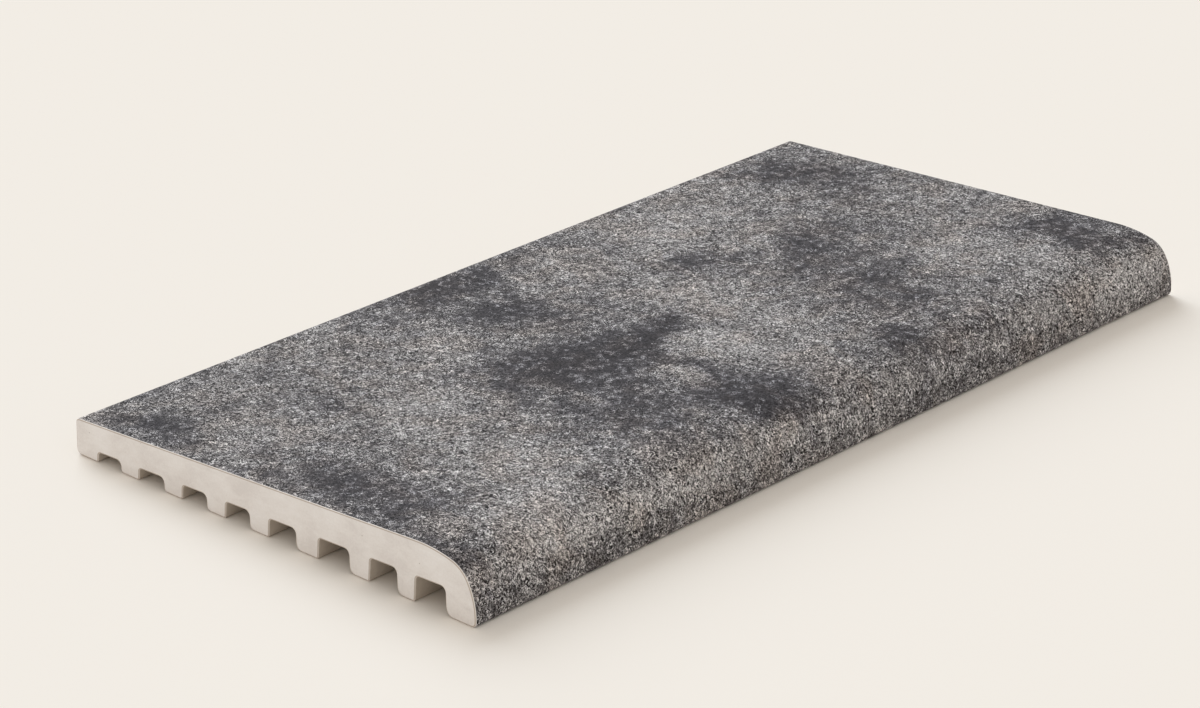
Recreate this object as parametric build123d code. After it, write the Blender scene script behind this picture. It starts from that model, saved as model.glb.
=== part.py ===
from build123d import *

import os
from math import atan, cos, degrees, radians, sin, tan

# Pool handgrip tile: one extruded, fired piece of stoneware, glazed over its top and nose.
# The clay leaves the die as one long section and is cut to length, so the tile is a prism along Y.
# Millimetres. Z is up from the bed plane that every rib stands on, X runs from the back edge to
# the rounded nose, and the origin is the middle of the bed plane.

# Overall sizes. The nose height is the sloping top's, carried on to the front above the rounding.
TILE_LENGTH = 626.0
TILE_WIDTH = 310.0
BACK_HEIGHT = 22.0
NOSE_HEIGHT = 38.5

# Widths along the bed plane, counted from the back edge forward. The grooves lie between the
# feet and the ribs, and share out the rest of the tile's width in these proportions.
BACK_FOOT_WIDTH = 18.0
NOSE_FOOT_WIDTH = 21.5
RIB_WIDTHS = (15.0, 15.0, 15.0, 15.0, 17.0, 15.0, 13.0)
GROOVE_SHARES = (1.9, 2.05, 1.95, 1.9, 2.1, 2.35, 2.05, 2.25)

# Clay left above the grooves, at the back edge and at the nose, and the lean of their walls
BACK_WEB = 16.5
NOSE_WEB = 21.5
WALL_DRAFT = 2.5

# Corner radii that the die leaves. Each groove is fuller in its front corner, and each rib
# rounder on its back toe, because the clay drags that way. A back toe's radius is a share of the
# height of the groove behind it.
RIB_BACK_TOE_SHARE = 0.32
RIB_FRONT_TOE_RADIUS = 1.5
GROOVE_FRONT_CORNER_RADIUS = 3.2
GROOVE_BACK_CORNER_RADIUS = 1.8
BACK_TOP_RADIUS = 2.6
BACK_HEEL_RADIUS = 4.0
NOSE_TOE_RADIUS = 3.0

# The nose: a long shoulder, a tighter brow, then an arc that comes upright above a short land.
# A turn is how far the outline has tipped below level where that arc ends.
SHOULDER_RADIUS = 90.0
SHOULDER_TURN = 14.0
BROW_RADIUS = 19.0
BROW_TURN = 58.0
NOSE_LAND = 4.0

# Bevel that is rubbed on both cut ends
END_ARRIS = 0.9

half_width = TILE_WIDTH / 2
top_slope = (NOSE_HEIGHT - BACK_HEIGHT) / TILE_WIDTH


# Height of the sloping top, which sheds water back from the nose
def top_height(x):
    return BACK_HEIGHT + top_slope * (x + half_width)


# Height of the groove ceilings: the top's height less the web, which thickens towards the nose
def ceiling_height(x):
    share = (x + half_width) / TILE_WIDTH
    return top_height(x) - BACK_WEB - share * (NOSE_WEB - BACK_WEB)


# The two edges of every groove on the bed plane, counted forward from the back foot
def groove_edges():
    open_width = TILE_WIDTH - BACK_FOOT_WIDTH - sum(RIB_WIDTHS) - NOSE_FOOT_WIDTH
    edges = []
    back = -half_width + BACK_FOOT_WIDTH
    for share, rib in zip(GROOVE_SHARES, (*RIB_WIDTHS, NOSE_FOOT_WIDTH)):
        front = back + open_width * share / sum(GROOVE_SHARES)
        edges.append((back, front))
        back = front + rib
    return edges


# The three tangent arcs over the nose. The last one's radius is whatever brings the outline
# upright at the top of the land, and the first one's start moves back to suit.
def nose_arcs():
    level = degrees(atan(top_slope))
    arcs = [(SHOULDER_RADIUS, level, -SHOULDER_TURN), (BROW_RADIUS, -SHOULDER_TURN, -BROW_TURN)]
    across = sum(radius * (sin(radians(a)) - sin(radians(b))) for radius, a, b in arcs)
    drop = sum(radius * (cos(radians(a)) - cos(radians(b))) for radius, a, b in arcs)
    last_across = 1 - sin(radians(BROW_TURN))
    last_drop = cos(radians(BROW_TURN))
    left_to_drop = top_height(half_width - across) - drop - NOSE_LAND
    last_radius = left_to_drop / (last_drop + top_slope * last_across)
    arcs.append((last_radius, -BROW_TURN, -90.0))

    start = half_width - across - last_radius * last_across
    at = Vector(start, top_height(start))
    lines = []
    for radius, a, b in arcs:
        lines.append(JernArc(at, (cos(radians(a)), sin(radians(a))), radius, b - a))
        at = lines[-1] @ 1
    return lines


# The rest of the outline: down the nose's land, back along every groove and rib, up the back
# edge and onto the top, with its corners rounded
def underside(nose_top, shoulder_top):
    corners = [(half_width, 0, NOSE_TOE_RADIUS)]
    for back, front in reversed(groove_edges()):
        front_lean = tan(radians(WALL_DRAFT)) * ceiling_height(front)
        back_lean = tan(radians(WALL_DRAFT)) * ceiling_height(back)
        corners += [
            (front, 0, RIB_BACK_TOE_SHARE * ceiling_height(front)),
            (front - front_lean, ceiling_height(front), GROOVE_FRONT_CORNER_RADIUS),
            (back + back_lean, ceiling_height(back), GROOVE_BACK_CORNER_RADIUS),
            (back, 0, RIB_FRONT_TOE_RADIUS),
        ]
    corners += [
        (-half_width, 0, BACK_HEEL_RADIUS),
        (-half_width, BACK_HEIGHT, BACK_TOP_RADIUS),
    ]
    points = [nose_top] + [(x, z) for x, z, _ in corners] + [shoulder_top]
    return FilletPolyline(*points, radius=[radius for _, _, radius in corners])


# The whole section, pushed out to length and bevelled around both cut ends
def tile():
    nose = nose_arcs()
    outline = Curve() + [*nose, underside(nose[-1] @ 1, nose[0] @ 0)]
    section = Plane.XZ * make_face(outline)
    blank = extrude(section, amount=TILE_LENGTH / 2, both=True)
    cut_ends = blank.faces().filter_by(Axis.Y)
    return chamfer(cut_ends.edges(), length=END_ARRIS)


os.makedirs("parts", exist_ok=True)
export_step(tile(), "parts/handgrip_tile.step")
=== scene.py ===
from math import atan, cos, degrees, exp, radians, sin, tan

import bmesh
import bpy
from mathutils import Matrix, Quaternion, Vector, noise


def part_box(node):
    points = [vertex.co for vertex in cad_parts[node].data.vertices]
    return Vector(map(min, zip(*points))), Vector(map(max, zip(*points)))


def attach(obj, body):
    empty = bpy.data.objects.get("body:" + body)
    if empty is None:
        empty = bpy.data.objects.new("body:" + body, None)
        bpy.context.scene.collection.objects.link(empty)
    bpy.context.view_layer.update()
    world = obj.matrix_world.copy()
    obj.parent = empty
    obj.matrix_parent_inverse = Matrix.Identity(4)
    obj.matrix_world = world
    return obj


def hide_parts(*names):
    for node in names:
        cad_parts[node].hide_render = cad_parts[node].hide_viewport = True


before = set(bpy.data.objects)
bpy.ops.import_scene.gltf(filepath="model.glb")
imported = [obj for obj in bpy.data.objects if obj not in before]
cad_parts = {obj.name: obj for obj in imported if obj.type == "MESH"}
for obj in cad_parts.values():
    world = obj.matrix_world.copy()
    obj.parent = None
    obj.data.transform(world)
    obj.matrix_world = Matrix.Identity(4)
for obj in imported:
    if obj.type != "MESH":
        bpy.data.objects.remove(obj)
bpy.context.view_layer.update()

# The handgrip tile is one piece of stoneware. Its clay is pushed through a die, cut to length,
# glazed over the sloping top and the nose, and fired; the cut ends, the back edge and the ribbed
# underside stay bare. It lies on its ribs, with the rounded nose along +X.
mm = 0.001
far_corner = Vector(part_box("handgrip_tile")[1])
half_width = far_corner.x
half_length = far_corner.y
back_height = 22.0 * mm
nose_height = 38.5 * mm
back_web = 16.5 * mm
nose_web = 21.5 * mm
top_slope = (nose_height - back_height) / (2 * half_width)


def top_height(x):
    return back_height + top_slope * (x + half_width)


def ceiling_height(x):
    share = (x + half_width) / (2 * half_width)
    return top_height(x) - back_web - share * (nose_web - back_web)


# The nose: one corner at the back of the shoulder is spun forward and down in three tangent arcs,
# each a radius and the tilts that it starts and ends at. The last one comes upright above a land.
facet_length = 1.75 * mm
fewest_facets = 4
nose_land = 4.0 * mm
shoulder_arc = (90.0 * mm, degrees(atan(top_slope)), -14.0)
brow_arc = (19.0 * mm, -14.0, -58.0)
brow_turn = -brow_arc[2]
arcs = (shoulder_arc, brow_arc)
across = sum(radius * (sin(radians(start)) - sin(radians(end))) for radius, start, end in arcs)
drop = sum(radius * (cos(radians(start)) - cos(radians(end))) for radius, start, end in arcs)
last_across = 1 - sin(radians(brow_turn))
last_drop = cos(radians(brow_turn)) + top_slope * last_across
last_radius = (top_height(half_width - across) - drop - nose_land) / last_drop
last_arc = (last_radius, -brow_turn, -90.0)
shoulder_x = half_width - across - last_radius * last_across

tile = bmesh.new()
shoulder = tile.verts.new((shoulder_x, -half_length, top_height(shoulder_x)))
at = shoulder
for radius, start, end in (*arcs, last_arc):
    tilt = radians(start)
    centre = at.co + radius * Vector((sin(tilt), 0, -cos(tilt)))
    sweep = radians(start - end)
    spun = bmesh.ops.spin(
        tile, geom=[at], cent=centre, axis=(0, 1, 0), angle=sweep,
        steps=max(fewest_facets, round(radius * sweep / facet_length)),
    )
    at = next(v for v in spun["geom_last"] if isinstance(v, bmesh.types.BMVert))

# The ribs: a foot at the back, eight grooves with seven ribs between them, and the foot under the
# nose. The die leaves each corner round, more on the side that drags the clay.
back_foot = 18.0 * mm
nose_foot = 21.5 * mm
rib_widths = [width * mm for width in (15, 15, 15, 15, 17, 15, 13)]
groove_shares = (1.9, 2.05, 1.95, 1.9, 2.1, 2.35, 2.05, 2.25)
wall_lean = tan(radians(2.5))
back_toe_share = 0.32
front_toe_radius = 1.5 * mm
groove_front_radius = 3.2 * mm
groove_back_radius = 1.8 * mm
nose_toe_radius = 3.0 * mm
back_heel_radius = 4.0 * mm
back_top_radius = 2.6 * mm
open_width = 2 * half_width - back_foot - sum(rib_widths) - nose_foot
grooves = []
groove_back = back_foot - half_width
for share, rib in zip(groove_shares, (*rib_widths, nose_foot)):
    groove_front = groove_back + open_width * share / sum(groove_shares)
    grooves.append((groove_back, groove_front))
    groove_back = groove_front + rib

corners = [(half_width, 0.0, nose_toe_radius)]
for back, front in reversed(grooves):
    back_ceiling, front_ceiling = ceiling_height(back), ceiling_height(front)
    corners.append((front, 0.0, back_toe_share * front_ceiling))
    corners.append((front - wall_lean * front_ceiling, front_ceiling, groove_front_radius))
    corners.append((back + wall_lean * back_ceiling, back_ceiling, groove_back_radius))
    corners.append((back, 0.0, front_toe_radius))
corners.append((-half_width, 0.0, back_heel_radius))
corners.append((-half_width, back_height, back_top_radius))

sharp_corners = []
for x, z, radius in corners:
    corner = tile.verts.new((x, -half_length, z))
    tile.edges.new((at, corner))
    sharp_corners.append((corner, radius))
    at = corner
tile.edges.new((at, shoulder))
bmesh.ops.contextual_create(tile, geom=tile.edges[:])
for corner, radius in sharp_corners:
    bmesh.ops.bevel(
        tile, geom=[corner], offset=radius, offset_type="OFFSET", segments=4,
        profile=0.5, affect="VERTICES", material=-1,
    )
flat_top = max(tile.edges, key=lambda edge: edge.calc_length())
top_facets = round(flat_top.calc_length() / facet_length)
bmesh.ops.subdivide_edges(tile, edges=[flat_top], cuts=top_facets)

# The section is pushed out to length. Both ends are sawn square, and their sharp edge, the
# arris, is rubbed round.
pushed = bmesh.ops.extrude_face_region(tile, geom=tile.faces[:])
bmesh.ops.translate(
    tile, vec=(0, 2 * half_length, 0),
    verts=[v for v in pushed["geom"] if isinstance(v, bmesh.types.BMVert)],
)
bmesh.ops.recalc_face_normals(tile, faces=tile.faces[:])
arris = 0.9 * mm


def length_along(edge):
    return abs(edge.verts[0].co.y - edge.verts[1].co.y)


bmesh.ops.bevel(
    tile, geom=[edge for edge in tile.edges if length_along(edge) < arris], offset=arris,
    offset_type="OFFSET", segments=3, profile=0.5, affect="EDGES", material=-1,
)

# The glaze lies on the sloping top and over the nose down to its toe. That skin is cut into a
# fine net, so that it can carry the slight waves and crinkles of a dipped and fired surface.
back_bare = half_width - 2.2 * mm
nose_front = half_width - 3.0 * mm
barely_up, partly_forward, barely_endways = 0.02, 0.3, 0.1


def is_glazed(face):
    middle = face.calc_center_median()
    on_top = face.normal.z > barely_up and middle.x > -back_bare
    on_nose = face.normal.x > partly_forward and middle.x > nose_front
    return abs(face.normal.y) < barely_endways and (on_top or on_nose)


glazed_lengths = {
    edge for face in tile.faces if is_glazed(face) for edge in face.edges
    if length_along(edge) > half_length
}
bmesh.ops.subdivide_edges(
    tile, edges=list(glazed_lengths), cuts=round(2 * half_length / facet_length),
    use_single_edge=False,
)

# The clouds in the glaze, placed one by one. Each is a place along the tile and across it (counted
# on down the nose), its reach each way, and how much lighter or darker the glaze is there.
# Lengths are in millimetres. Two seeded drifts, one wide and one small, tear the clouds' rims.
# Some pale ones on the shoulder and brow are partly painted light there.
clouds_and_brow_light = (
    # the dark ones
    (-70, 12, 58, 38, -1.0), (2, 8, 24, 12, -0.85), (-36, 62, 12, 20, -0.5),
    (-46, 118, 27, 42, -0.8), (-114, 85, 42, 42, -0.5), (-42, -86, 28, 28, -0.6),
    (-28, -138, 44, 18, -0.75), (-288, 45, 28, 48, -0.55), (-293, -110, 18, 34, -0.5),
    (278, 112, 26, 42, -0.75), (266, -105, 24, 36, -0.6), (167, -20, 34, 24, -0.5),
    (138, 60, 56, 50, -0.42), (90, -48, 26, 22, -0.45), (74, 118, 16, 20, -0.5),
    (-218, -55, 26, 22, -0.15), (-308, 120, 13, 40, -0.45),
    # the pale ones; those 136 and more across, on the shoulder and brow, are partly painted light
    (-4, 53, 20, 22, 1.1), (122, -100, 32, 28, 0.8), (42, -20, 26, 34, 0.5),
    (60, 62, 28, 26, 0.5), (-243, 136, 34, 26, 1.0), (-205, 85, 36, 40, 0.5),
    (-178, -15, 24, 24, 0.5), (212, 60, 30, 26, 0.5), (232, 125, 30, 28, 0.4),
    (-118, -55, 30, 20, 0.4), (-263, -60, 18, 18, 0.4), (-48, 66, 8, 9, 1.0),
    (165, -122, 30, 22, 0.3), (292, 160, 30, 14, 1.0), (-235, 158, 36, 14, 0.75),
    (-150, 160, 44, 13, 0.6), (-62, 158, 26, 12, 0.5), (255, 174, 34, 20, 0.6),
)
wide_drift, wide_per_metre = 14 * mm, 28
small_drift, small_per_metre = 6 * mm, 75
noise.seed_set(1)


def cloud_and_brow_light_at(spot):
    drift = noise.noise_vector(spot * wide_per_metre) * wide_drift
    drift += noise.noise_vector(spot * small_per_metre) * small_drift
    down_nose = max(0.0, top_height(spot.x) - spot.z)
    along = (spot.y + drift.y) / mm
    over = (spot.x + drift.x + down_nose) / mm
    tone = 0.0
    for place_along, place_over, reach_along, reach_over, strength in clouds_and_brow_light:
        away = ((along - place_along) / reach_along) ** 2 + ((over - place_over) / reach_over) ** 2
        tone += strength * exp(-away)
    return tone


glaze_layer = tile.verts.layers.float.new("glaze")
cloud_and_brow_light_layer = tile.verts.layers.float.new("cloud")
glazed_corners = {corner for face in tile.faces if is_glazed(face) for corner in face.verts}
for corner in glazed_corners:
    corner[glaze_layer] = 1.0
    corner[cloud_and_brow_light_layer] = cloud_and_brow_light_at(corner.co)

# The glaze's waves and crinkles stand about a tenth of a millimetre high, and die away towards
# its edges
wave_height, waves_per_metre = 0.10 * mm, 60
crinkle_height, crinkles_per_metre = 0.12 * mm, 190
fade = 5 * mm
tile.normal_update()
for corner in glazed_corners:
    from_end = half_length - arris - abs(corner.co.y)
    inland = min(from_end, corner.co.x + back_bare, corner.co.z - nose_land)
    lift = wave_height * noise.noise(corner.co * waves_per_metre)
    lift += crinkle_height * noise.noise(corner.co * crinkles_per_metre)
    corner.co += corner.normal * lift * min(1.0, max(0.0, inland / fade))

tile_mesh = bpy.data.meshes.new("handgrip_tile_fired")
tile.to_mesh(tile_mesh)
tile.free()
tile_mesh.shade_smooth()
fired_tile = bpy.data.objects.new("handgrip_tile_fired", tile_mesh)
bpy.context.scene.collection.objects.link(fired_tile)
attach(fired_tile, "root")
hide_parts("handgrip_tile")

# The fired surface. The glaze is a matt, mottled grey of fine crinkled flecks over soft clouds.
# The bare body is a pale warm beige with a little sand in it, paler where it is sawn and darker on
# its unsawn skin, partly as painted shade for the grooves' insides, with a thin tan line round the
# sawn ends.
stoneware = bpy.data.materials.new("glazed_stoneware")
stoneware.use_nodes = True
net = stoneware.node_tree
net.nodes.clear()


def add(kind, settings=None, **inputs):
    """One node in the net. An input goes by its socket's name, or by _ and its number."""
    node = net.nodes.new("ShaderNode" + kind)
    for name, value in (settings or {}).items():
        setattr(node, name, value)
    for name, value in inputs.items():
        by_number = name[1:].isdigit()
        socket = node.inputs[int(name[1:]) if by_number else name.replace("_", " ")]
        if isinstance(value, bpy.types.NodeSocket):
            net.links.new(value, socket)
        else:
            socket.default_value = value
    return node


def reckoned(operation, a, b=0.0, c=0.0):
    return add("Math", {"operation": operation}, _0=a, _1=b, _2=c).outputs[0]


def times(a, b):
    return reckoned("MULTIPLY", a, b)


def with_share(base, value, share):
    """The base and a share of a value on top of it."""
    return reckoned("MULTIPLY_ADD", value, share, base)


def swing(pattern):
    """A pattern that runs from 0 to 1, as a swing about its middle."""
    return reckoned("SUBTRACT", pattern, 0.5)


def spread(value, low, high, to_low=0.0, to_high=1.0):
    """A smooth step from one value to another while the first goes from low to high."""
    return add(
        "MapRange", {"interpolation_type": "SMOOTHSTEP"}, Value=value,
        From_Min=low, From_Max=high, To_Min=to_low, To_Max=to_high,
    ).outputs[0]


def speckle(spot, per_metre, detail=2.0, roughness=0.5, twist=0.0):
    return add(
        "TexNoise", Vector=spot, Scale=per_metre, Detail=detail, Roughness=roughness,
        Distortion=twist,
    ).outputs["Fac"]


spot = add("TexCoord").outputs["Object"]
across_tile, along_tile, up_tile = add("SeparateXYZ", Vector=spot).outputs
glaze_here = add("Attribute", {"attribute_name": "glaze"}).outputs["Fac"]
cloud_and_brow_light_here = add("Attribute", {"attribute_name": "cloud"}).outputs["Fac"]

# The glaze's shade: the clouds, broken up by drifts, blotches and a ragged grain, and a little
# paler over the brow: painted light, standing in for the light the brow catches
plain_level, cloud_and_brow_light_share = 0.56, 0.60
drift_share, blotch_share, ragged_share = 0.72, 0.75, 0.40
level = with_share(plain_level, cloud_and_brow_light_here, cloud_and_brow_light_share)
level = with_share(level, swing(speckle(spot, 18, 5, 0.62, 0.5)), drift_share)
level = with_share(level, swing(speckle(spot, 65, 3, 0.6, 0.8)), blotch_share)
level = with_share(level, swing(speckle(spot, 210, 2, 0.6, 0.8)), ragged_share)
darkest_shade, palest_shade = 0.190, 0.535
shade = spread(level, -0.15, 1.25, darkest_shade, palest_shade)
on_brow = spread(across_tile, 138 * mm, 150 * mm)
painted_brow_light = times(on_brow, spread(up_tile, 10 * mm, 24 * mm))
brow_light_strength = 0.095
shade = with_share(shade, painted_brow_light, brow_light_strength)

# Its curled flecks: a light thread along each curl with a dark gap beside it, in broken patches,
# then short flecks, fine hairs and a grain between them. They fade in the dark clouds.
thread_light, gap_dark, short_light = 1.05, -0.66, 0.50
grain_share, hair_share = 1.35, 0.42


def beside_curls(pattern):
    """How far the surface is from the lines on which a pattern crosses its middle."""
    return reckoned("ABSOLUTE", swing(pattern))


beside = beside_curls(speckle(spot, 240, 1, 0.5, 2.0))
thread = spread(beside, 0.025, 0.075, 1.0, 0.0)
gap = spread(beside, 0.075, 0.150, 1.0, 0.0)
broken = spread(speckle(spot, 120), 0.38, 0.62, 0.3, 1.0)
short_thread = spread(beside_curls(speckle(spot, 280, 1, 0.5, 2.4)), 0.01, 0.05, 1.0, 0.0)
short_patch = spread(speckle(spot, 175, 1), 0.52, 0.62)
hairs = spread(beside_curls(speckle(spot, 400, 1, 0.5, 1.8)), 0.02, 0.10, 1.0, 0.0)
average_hairs = 0.4
grain = speckle(spot, 600, 2, 0.7, 0.6)
crinkle = with_share(times(gap, gap_dark), thread, thread_light)
crinkle = with_share(times(crinkle, broken), swing(grain), grain_share)
crinkle = with_share(crinkle, reckoned("SUBTRACT", hairs, average_hairs), hair_share)
fleck_strength = spread(level, 0.1, 0.65, 0.26, 1.05)
tone = with_share(shade, crinkle, fleck_strength)
tone = with_share(tone, times(short_thread, short_patch), short_light)

# Its colour: a neutral grey, with rusty patches here and there and a slate tint in the dark clouds
rust_tint = (1.0, 0.93, 0.87, 1)
slate_tint = (0.95, 0.97, 1.05, 1)


def painted(r, g, b):
    """An eight-bit picture colour as the linear one that a shader takes."""
    return tuple(
        c / 255 / 12.92 if c <= 10 else ((c / 255 + 0.055) / 1.055) ** 2.4 for c in (r, g, b)
    )


def ramp(value, *stops):
    node = add("ValToRGB", Fac=value)
    band = node.color_ramp
    band.elements[0].position, band.elements[0].color = stops[0][0], (*stops[0][1], 1)
    band.elements[1].position, band.elements[1].color = stops[-1][0], (*stops[-1][1], 1)
    for place, colour in stops[1:-1]:
        band.elements.new(place).color = (*colour, 1)
    return node.outputs["Color"]


def mixed(share, under, over, way="MIX"):
    settings = {"data_type": "RGBA", "blend_type": way}
    return add("Mix", settings, Factor=share, _6=under, _7=over).outputs[2]


glaze_colour = ramp(
    tone, (0.10, painted(33, 32, 33)), (0.25, painted(65, 62, 63)), (0.35, painted(90, 87, 88)),
    (0.45, painted(115, 112, 113)), (0.55, painted(140, 137, 137)), (0.65, painted(165, 162, 162)),
    (0.95, painted(238, 236, 236)),
)
rusty = spread(speckle(spot, 34, 4, 0.6, 0.5), 0.44, 0.64, 0.0, 0.62)
glaze_colour = mixed(rusty, glaze_colour, rust_tint, "MULTIPLY")
dark_cloud = spread(level, 0.05, 0.70, 1.0, 0.0)
glaze_colour = mixed(dark_cloud, glaze_colour, slate_tint, "MULTIPLY")

# The bare body: sandy, with the saw's drift across it and a few pin holes, pale where it is sawn
# and darker where the die's skin is left on it, that darker skin being partly painted shade for
# the grooves' insides
sand_share, saw_share = 0.5, 0.7
sand = speckle(spot, 700, 3, 0.7)
along_cut = add("Mapping", Vector=spot, Scale=(1.0, 1.0, 2.0)).outputs[0]
saw_marks = speckle(along_cut, 70, 4, 0.65, 0.8)
clay_tone = with_share(speckle(spot, 35, 3), swing(sand), sand_share)
clay_tone = with_share(clay_tone, swing(saw_marks), saw_share)
sawn_colour = ramp(
    clay_tone, (0.25, painted(231, 225, 221)), (0.5, painted(240, 235, 231)),
    (0.75, painted(246, 242, 239)),
)
skin_and_groove_shade_colour = ramp(
    clay_tone, (0.25, painted(182, 170, 157)), (0.5, painted(189, 178, 165)),
    (0.75, painted(196, 186, 174)),
)
end_depth = reckoned("SUBTRACT", half_length, reckoned("ABSOLUTE", along_tile))
# On the top and the nose the sawn colour reaches further over the arris: a pale rim, partly rubbed
# clay and partly a painted highlight
on_top = spread(up_tile, 18 * mm, 20 * mm)
on_crown = reckoned("MAXIMUM", on_top, spread(across_tile, 148 * mm, 150 * mm))
rubbed_and_highlit_rim = 0.8 * mm
sawn_depth = with_share(end_depth, on_crown, -rubbed_and_highlit_rim)
sawn = spread(sawn_depth, 0.3 * arris, 0.7 * arris, 1.0, 0.0)
body_colour = mixed(sawn, skin_and_groove_shade_colour, sawn_colour)

# A third of the body's pin holes are open and darkened with painted shade, and a tan line runs
# just inside each sawn end
holes = add("TexVoronoi", Vector=spot, Scale=120.0, Randomness=1.0).outputs
hole_floor = spread(holes["Distance"], 0.03, 0.065, 1.0, 0.0)
hole_draw = add("SeparateColor", Color=holes["Color"]).outputs[0]
pin_holes = times(hole_floor, spread(hole_draw, 0.66, 0.68))
hole_shade_colour = (*painted(120, 104, 90), 1)
hole_shade_strength = 0.6
body_colour = mixed(times(pin_holes, hole_shade_strength), body_colour, hole_shade_colour)
line_starts = spread(end_depth, 0.005 * mm, 0.03 * mm)
tan_line = times(line_starts, spread(end_depth, 0.20 * mm, 0.40 * mm, 1.0, 0.0))
tan_line_colour = (*painted(168, 148, 128), 1)
tan_line_strength = 0.65
body_colour = mixed(times(tan_line, tan_line_strength), body_colour, tan_line_colour)

# Glaze over body, with a slightly uneven edge. Both are dull, with a fine relief.
body_roughness, glaze_roughness = 0.9, 0.8
edge_wander, hole_relief, thread_relief, grain_relief = 0.6, -1.5, 0.35, 0.5
relief_strength, relief_depth = 0.5, 0.25 * mm


def blended(share, under, over):
    return add("Mix", {"data_type": "FLOAT"}, Factor=share, _2=under, _3=over).outputs[0]


glaze_edge = with_share(glaze_here, swing(speckle(spot, 300)), edge_wander)
glazed = spread(glaze_edge, 0.45, 0.60)
body_relief = with_share(sand, pin_holes, hole_relief)
glaze_relief = with_share(times(thread, thread_relief), grain, grain_relief)
relief = blended(glazed, body_relief, glaze_relief)
surface_colour = mixed(glazed, body_colour, glaze_colour)
dullness = blended(glazed, body_roughness, glaze_roughness)
bump = add("Bump", Height=relief, Strength=relief_strength, Distance=relief_depth).outputs[0]
fired = add("BsdfPrincipled", Base_Color=surface_colour, Roughness=dullness, Normal=bump)
fired.inputs["Specular IOR Level"].default_value = 0.1
add("OutputMaterial", Surface=fired.outputs[0])
fired_tile.data.materials.append(stoneware)

# The studio floor: a plain pale sheet of dull card that runs far past the view. The tile lies
# on it unheld, and it keeps the tile's shadow.
floor_colour = (*painted(244, 239, 232), 1)
floor_reach = 8.0
pale_floor = bpy.data.materials.new("pale_floor")
pale_floor.use_nodes = True
floor_shader = pale_floor.node_tree.nodes["Principled BSDF"]
floor_shader.inputs["Base Color"].default_value = floor_colour
floor_shader.inputs["Roughness"].default_value = 1.0
floor_shader.inputs["Specular IOR Level"].default_value = 0.0
floor = bmesh.new()
bmesh.ops.create_grid(floor, x_segments=1, y_segments=1, size=floor_reach)
floor_mesh = bpy.data.meshes.new("pale_floor")
floor.to_mesh(floor_mesh)
floor.free()
floor_mesh.materials.append(pale_floor)
floor_piece = bpy.data.objects.new("pale_floor", floor_mesh)
bpy.context.scene.collection.objects.link(floor_piece)

# The room: soft warm light from all round, which the camera and mirrors see as the floor's
# colour, and one broad, cooler lamp beyond the tile's back edge, which throws the nose's shadow
room = bpy.data.worlds.new("soft_room")
bpy.context.scene.world = room
room.use_nodes = True
net = room.node_tree
net.nodes.clear()
ray = add("LightPath").outputs
mirrored = reckoned("MAXIMUM", ray["Is Glossy Ray"], ray["Is Transmission Ray"])
seen = reckoned("MAXIMUM", ray["Is Camera Ray"], mirrored)
room_light = add("Background", Color=(1.0, 0.955, 0.90, 1), Strength=0.69).outputs[0]
backdrop = add("Background", Color=floor_colour, Strength=1.0).outputs[0]
choice = add("MixShader", _0=seen, _1=room_light, _2=backdrop)
add("OutputWorld", Surface=choice.outputs[0])

lamp = bpy.data.lights.new("side_softbox", "SUN")
lamp.energy = 1.85
lamp.angle = radians(42)
lamp.color = (0.97, 1.06, 1.15)
towards_lamp = Vector((-1.54, 0.65, 1.0))
lamp_piece = bpy.data.objects.new("side_softbox", lamp)
bpy.context.scene.collection.objects.link(lamp_piece)
lamp_piece.rotation_mode = "QUATERNION"
lamp_piece.rotation_quaternion = towards_lamp.to_track_quat("Z", "Y")

# The camera stands off the nose's near corner and looks down along the tile through a long
# lens, tipped a little to one side
camera = bpy.data.cameras.new("camera")
camera.sensor_width = 36.0
camera.lens = 120.0
camera.clip_start, camera.clip_end = 0.05, 60.0
azimuth, elevation, roll = radians(41.68), radians(23.4), radians(1.0)
distance = 2.3899
aim = Vector((-38.2 * mm, -3.5 * mm, 0))
back = Vector((sin(azimuth) * cos(elevation), -cos(azimuth) * cos(elevation), sin(elevation)))
camera_piece = bpy.data.objects.new("camera", camera)
bpy.context.scene.collection.objects.link(camera_piece)
camera_piece.location = aim + back * distance
camera_piece.rotation_mode = "QUATERNION"
level_view = back.to_track_quat("Z", "Y")
camera_piece.rotation_quaternion = level_view @ Quaternion((0, 0, 1), roll)
bpy.context.scene.camera = camera_piece
bpy.context.scene.view_settings.view_transform = "Standard"
